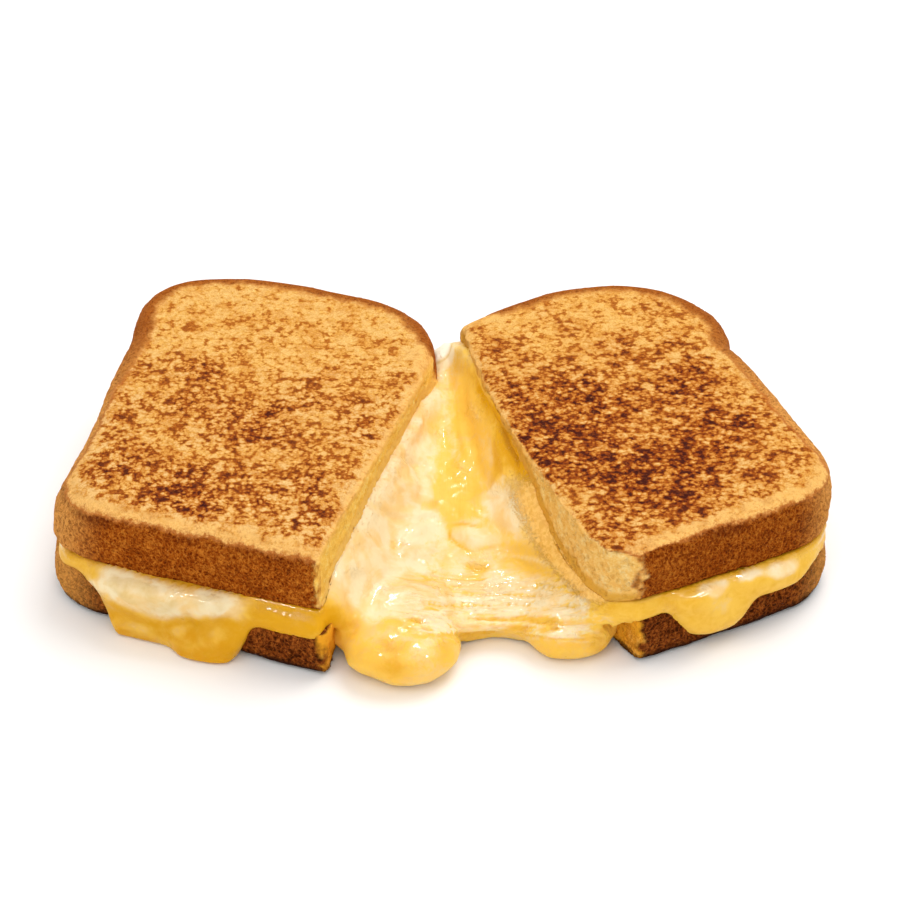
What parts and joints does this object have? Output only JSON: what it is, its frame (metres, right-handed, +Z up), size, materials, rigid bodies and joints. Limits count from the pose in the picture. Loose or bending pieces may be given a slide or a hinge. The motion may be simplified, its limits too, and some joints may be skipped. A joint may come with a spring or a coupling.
{
  "type": "grilled cheese sandwich",
  "caption": "Toasted cheese sandwich cut and pulled apart, with layered melted yellow and white cheese, a sagging stretch of cheese between the halves and drips down the front.",
  "frame": {"origin": "middle of the bounding box, at the level of the flat undersides", "axes": "+Z up; +X along the sandwich from the left half to the right half; -Y the front, where the straight edges of the bread are and the cheese drips"},
  "size_m": [0.1759, 0.118, 0.0336],
  "materials": {
    "top_slice": "dry, flecked toasted bread",
    "bottom_slice": "dry, darker toasted bread",
    "yellow_cheese": "glossy melted cheese",
    "white_cheese": "glossy melted cheese"
  },
  "bodies": {
    "root": {"left_bottom_slice": "bottom_slice", "left_top_slice": "top_slice", "right_bottom_slice": "bottom_slice", "right_top_slice": "top_slice", "yellow_cheese": "yellow_cheese", "left_white_cheese": "white_cheese", "right_white_cheese": "white_cheese"}
  },
  "joints": []
}
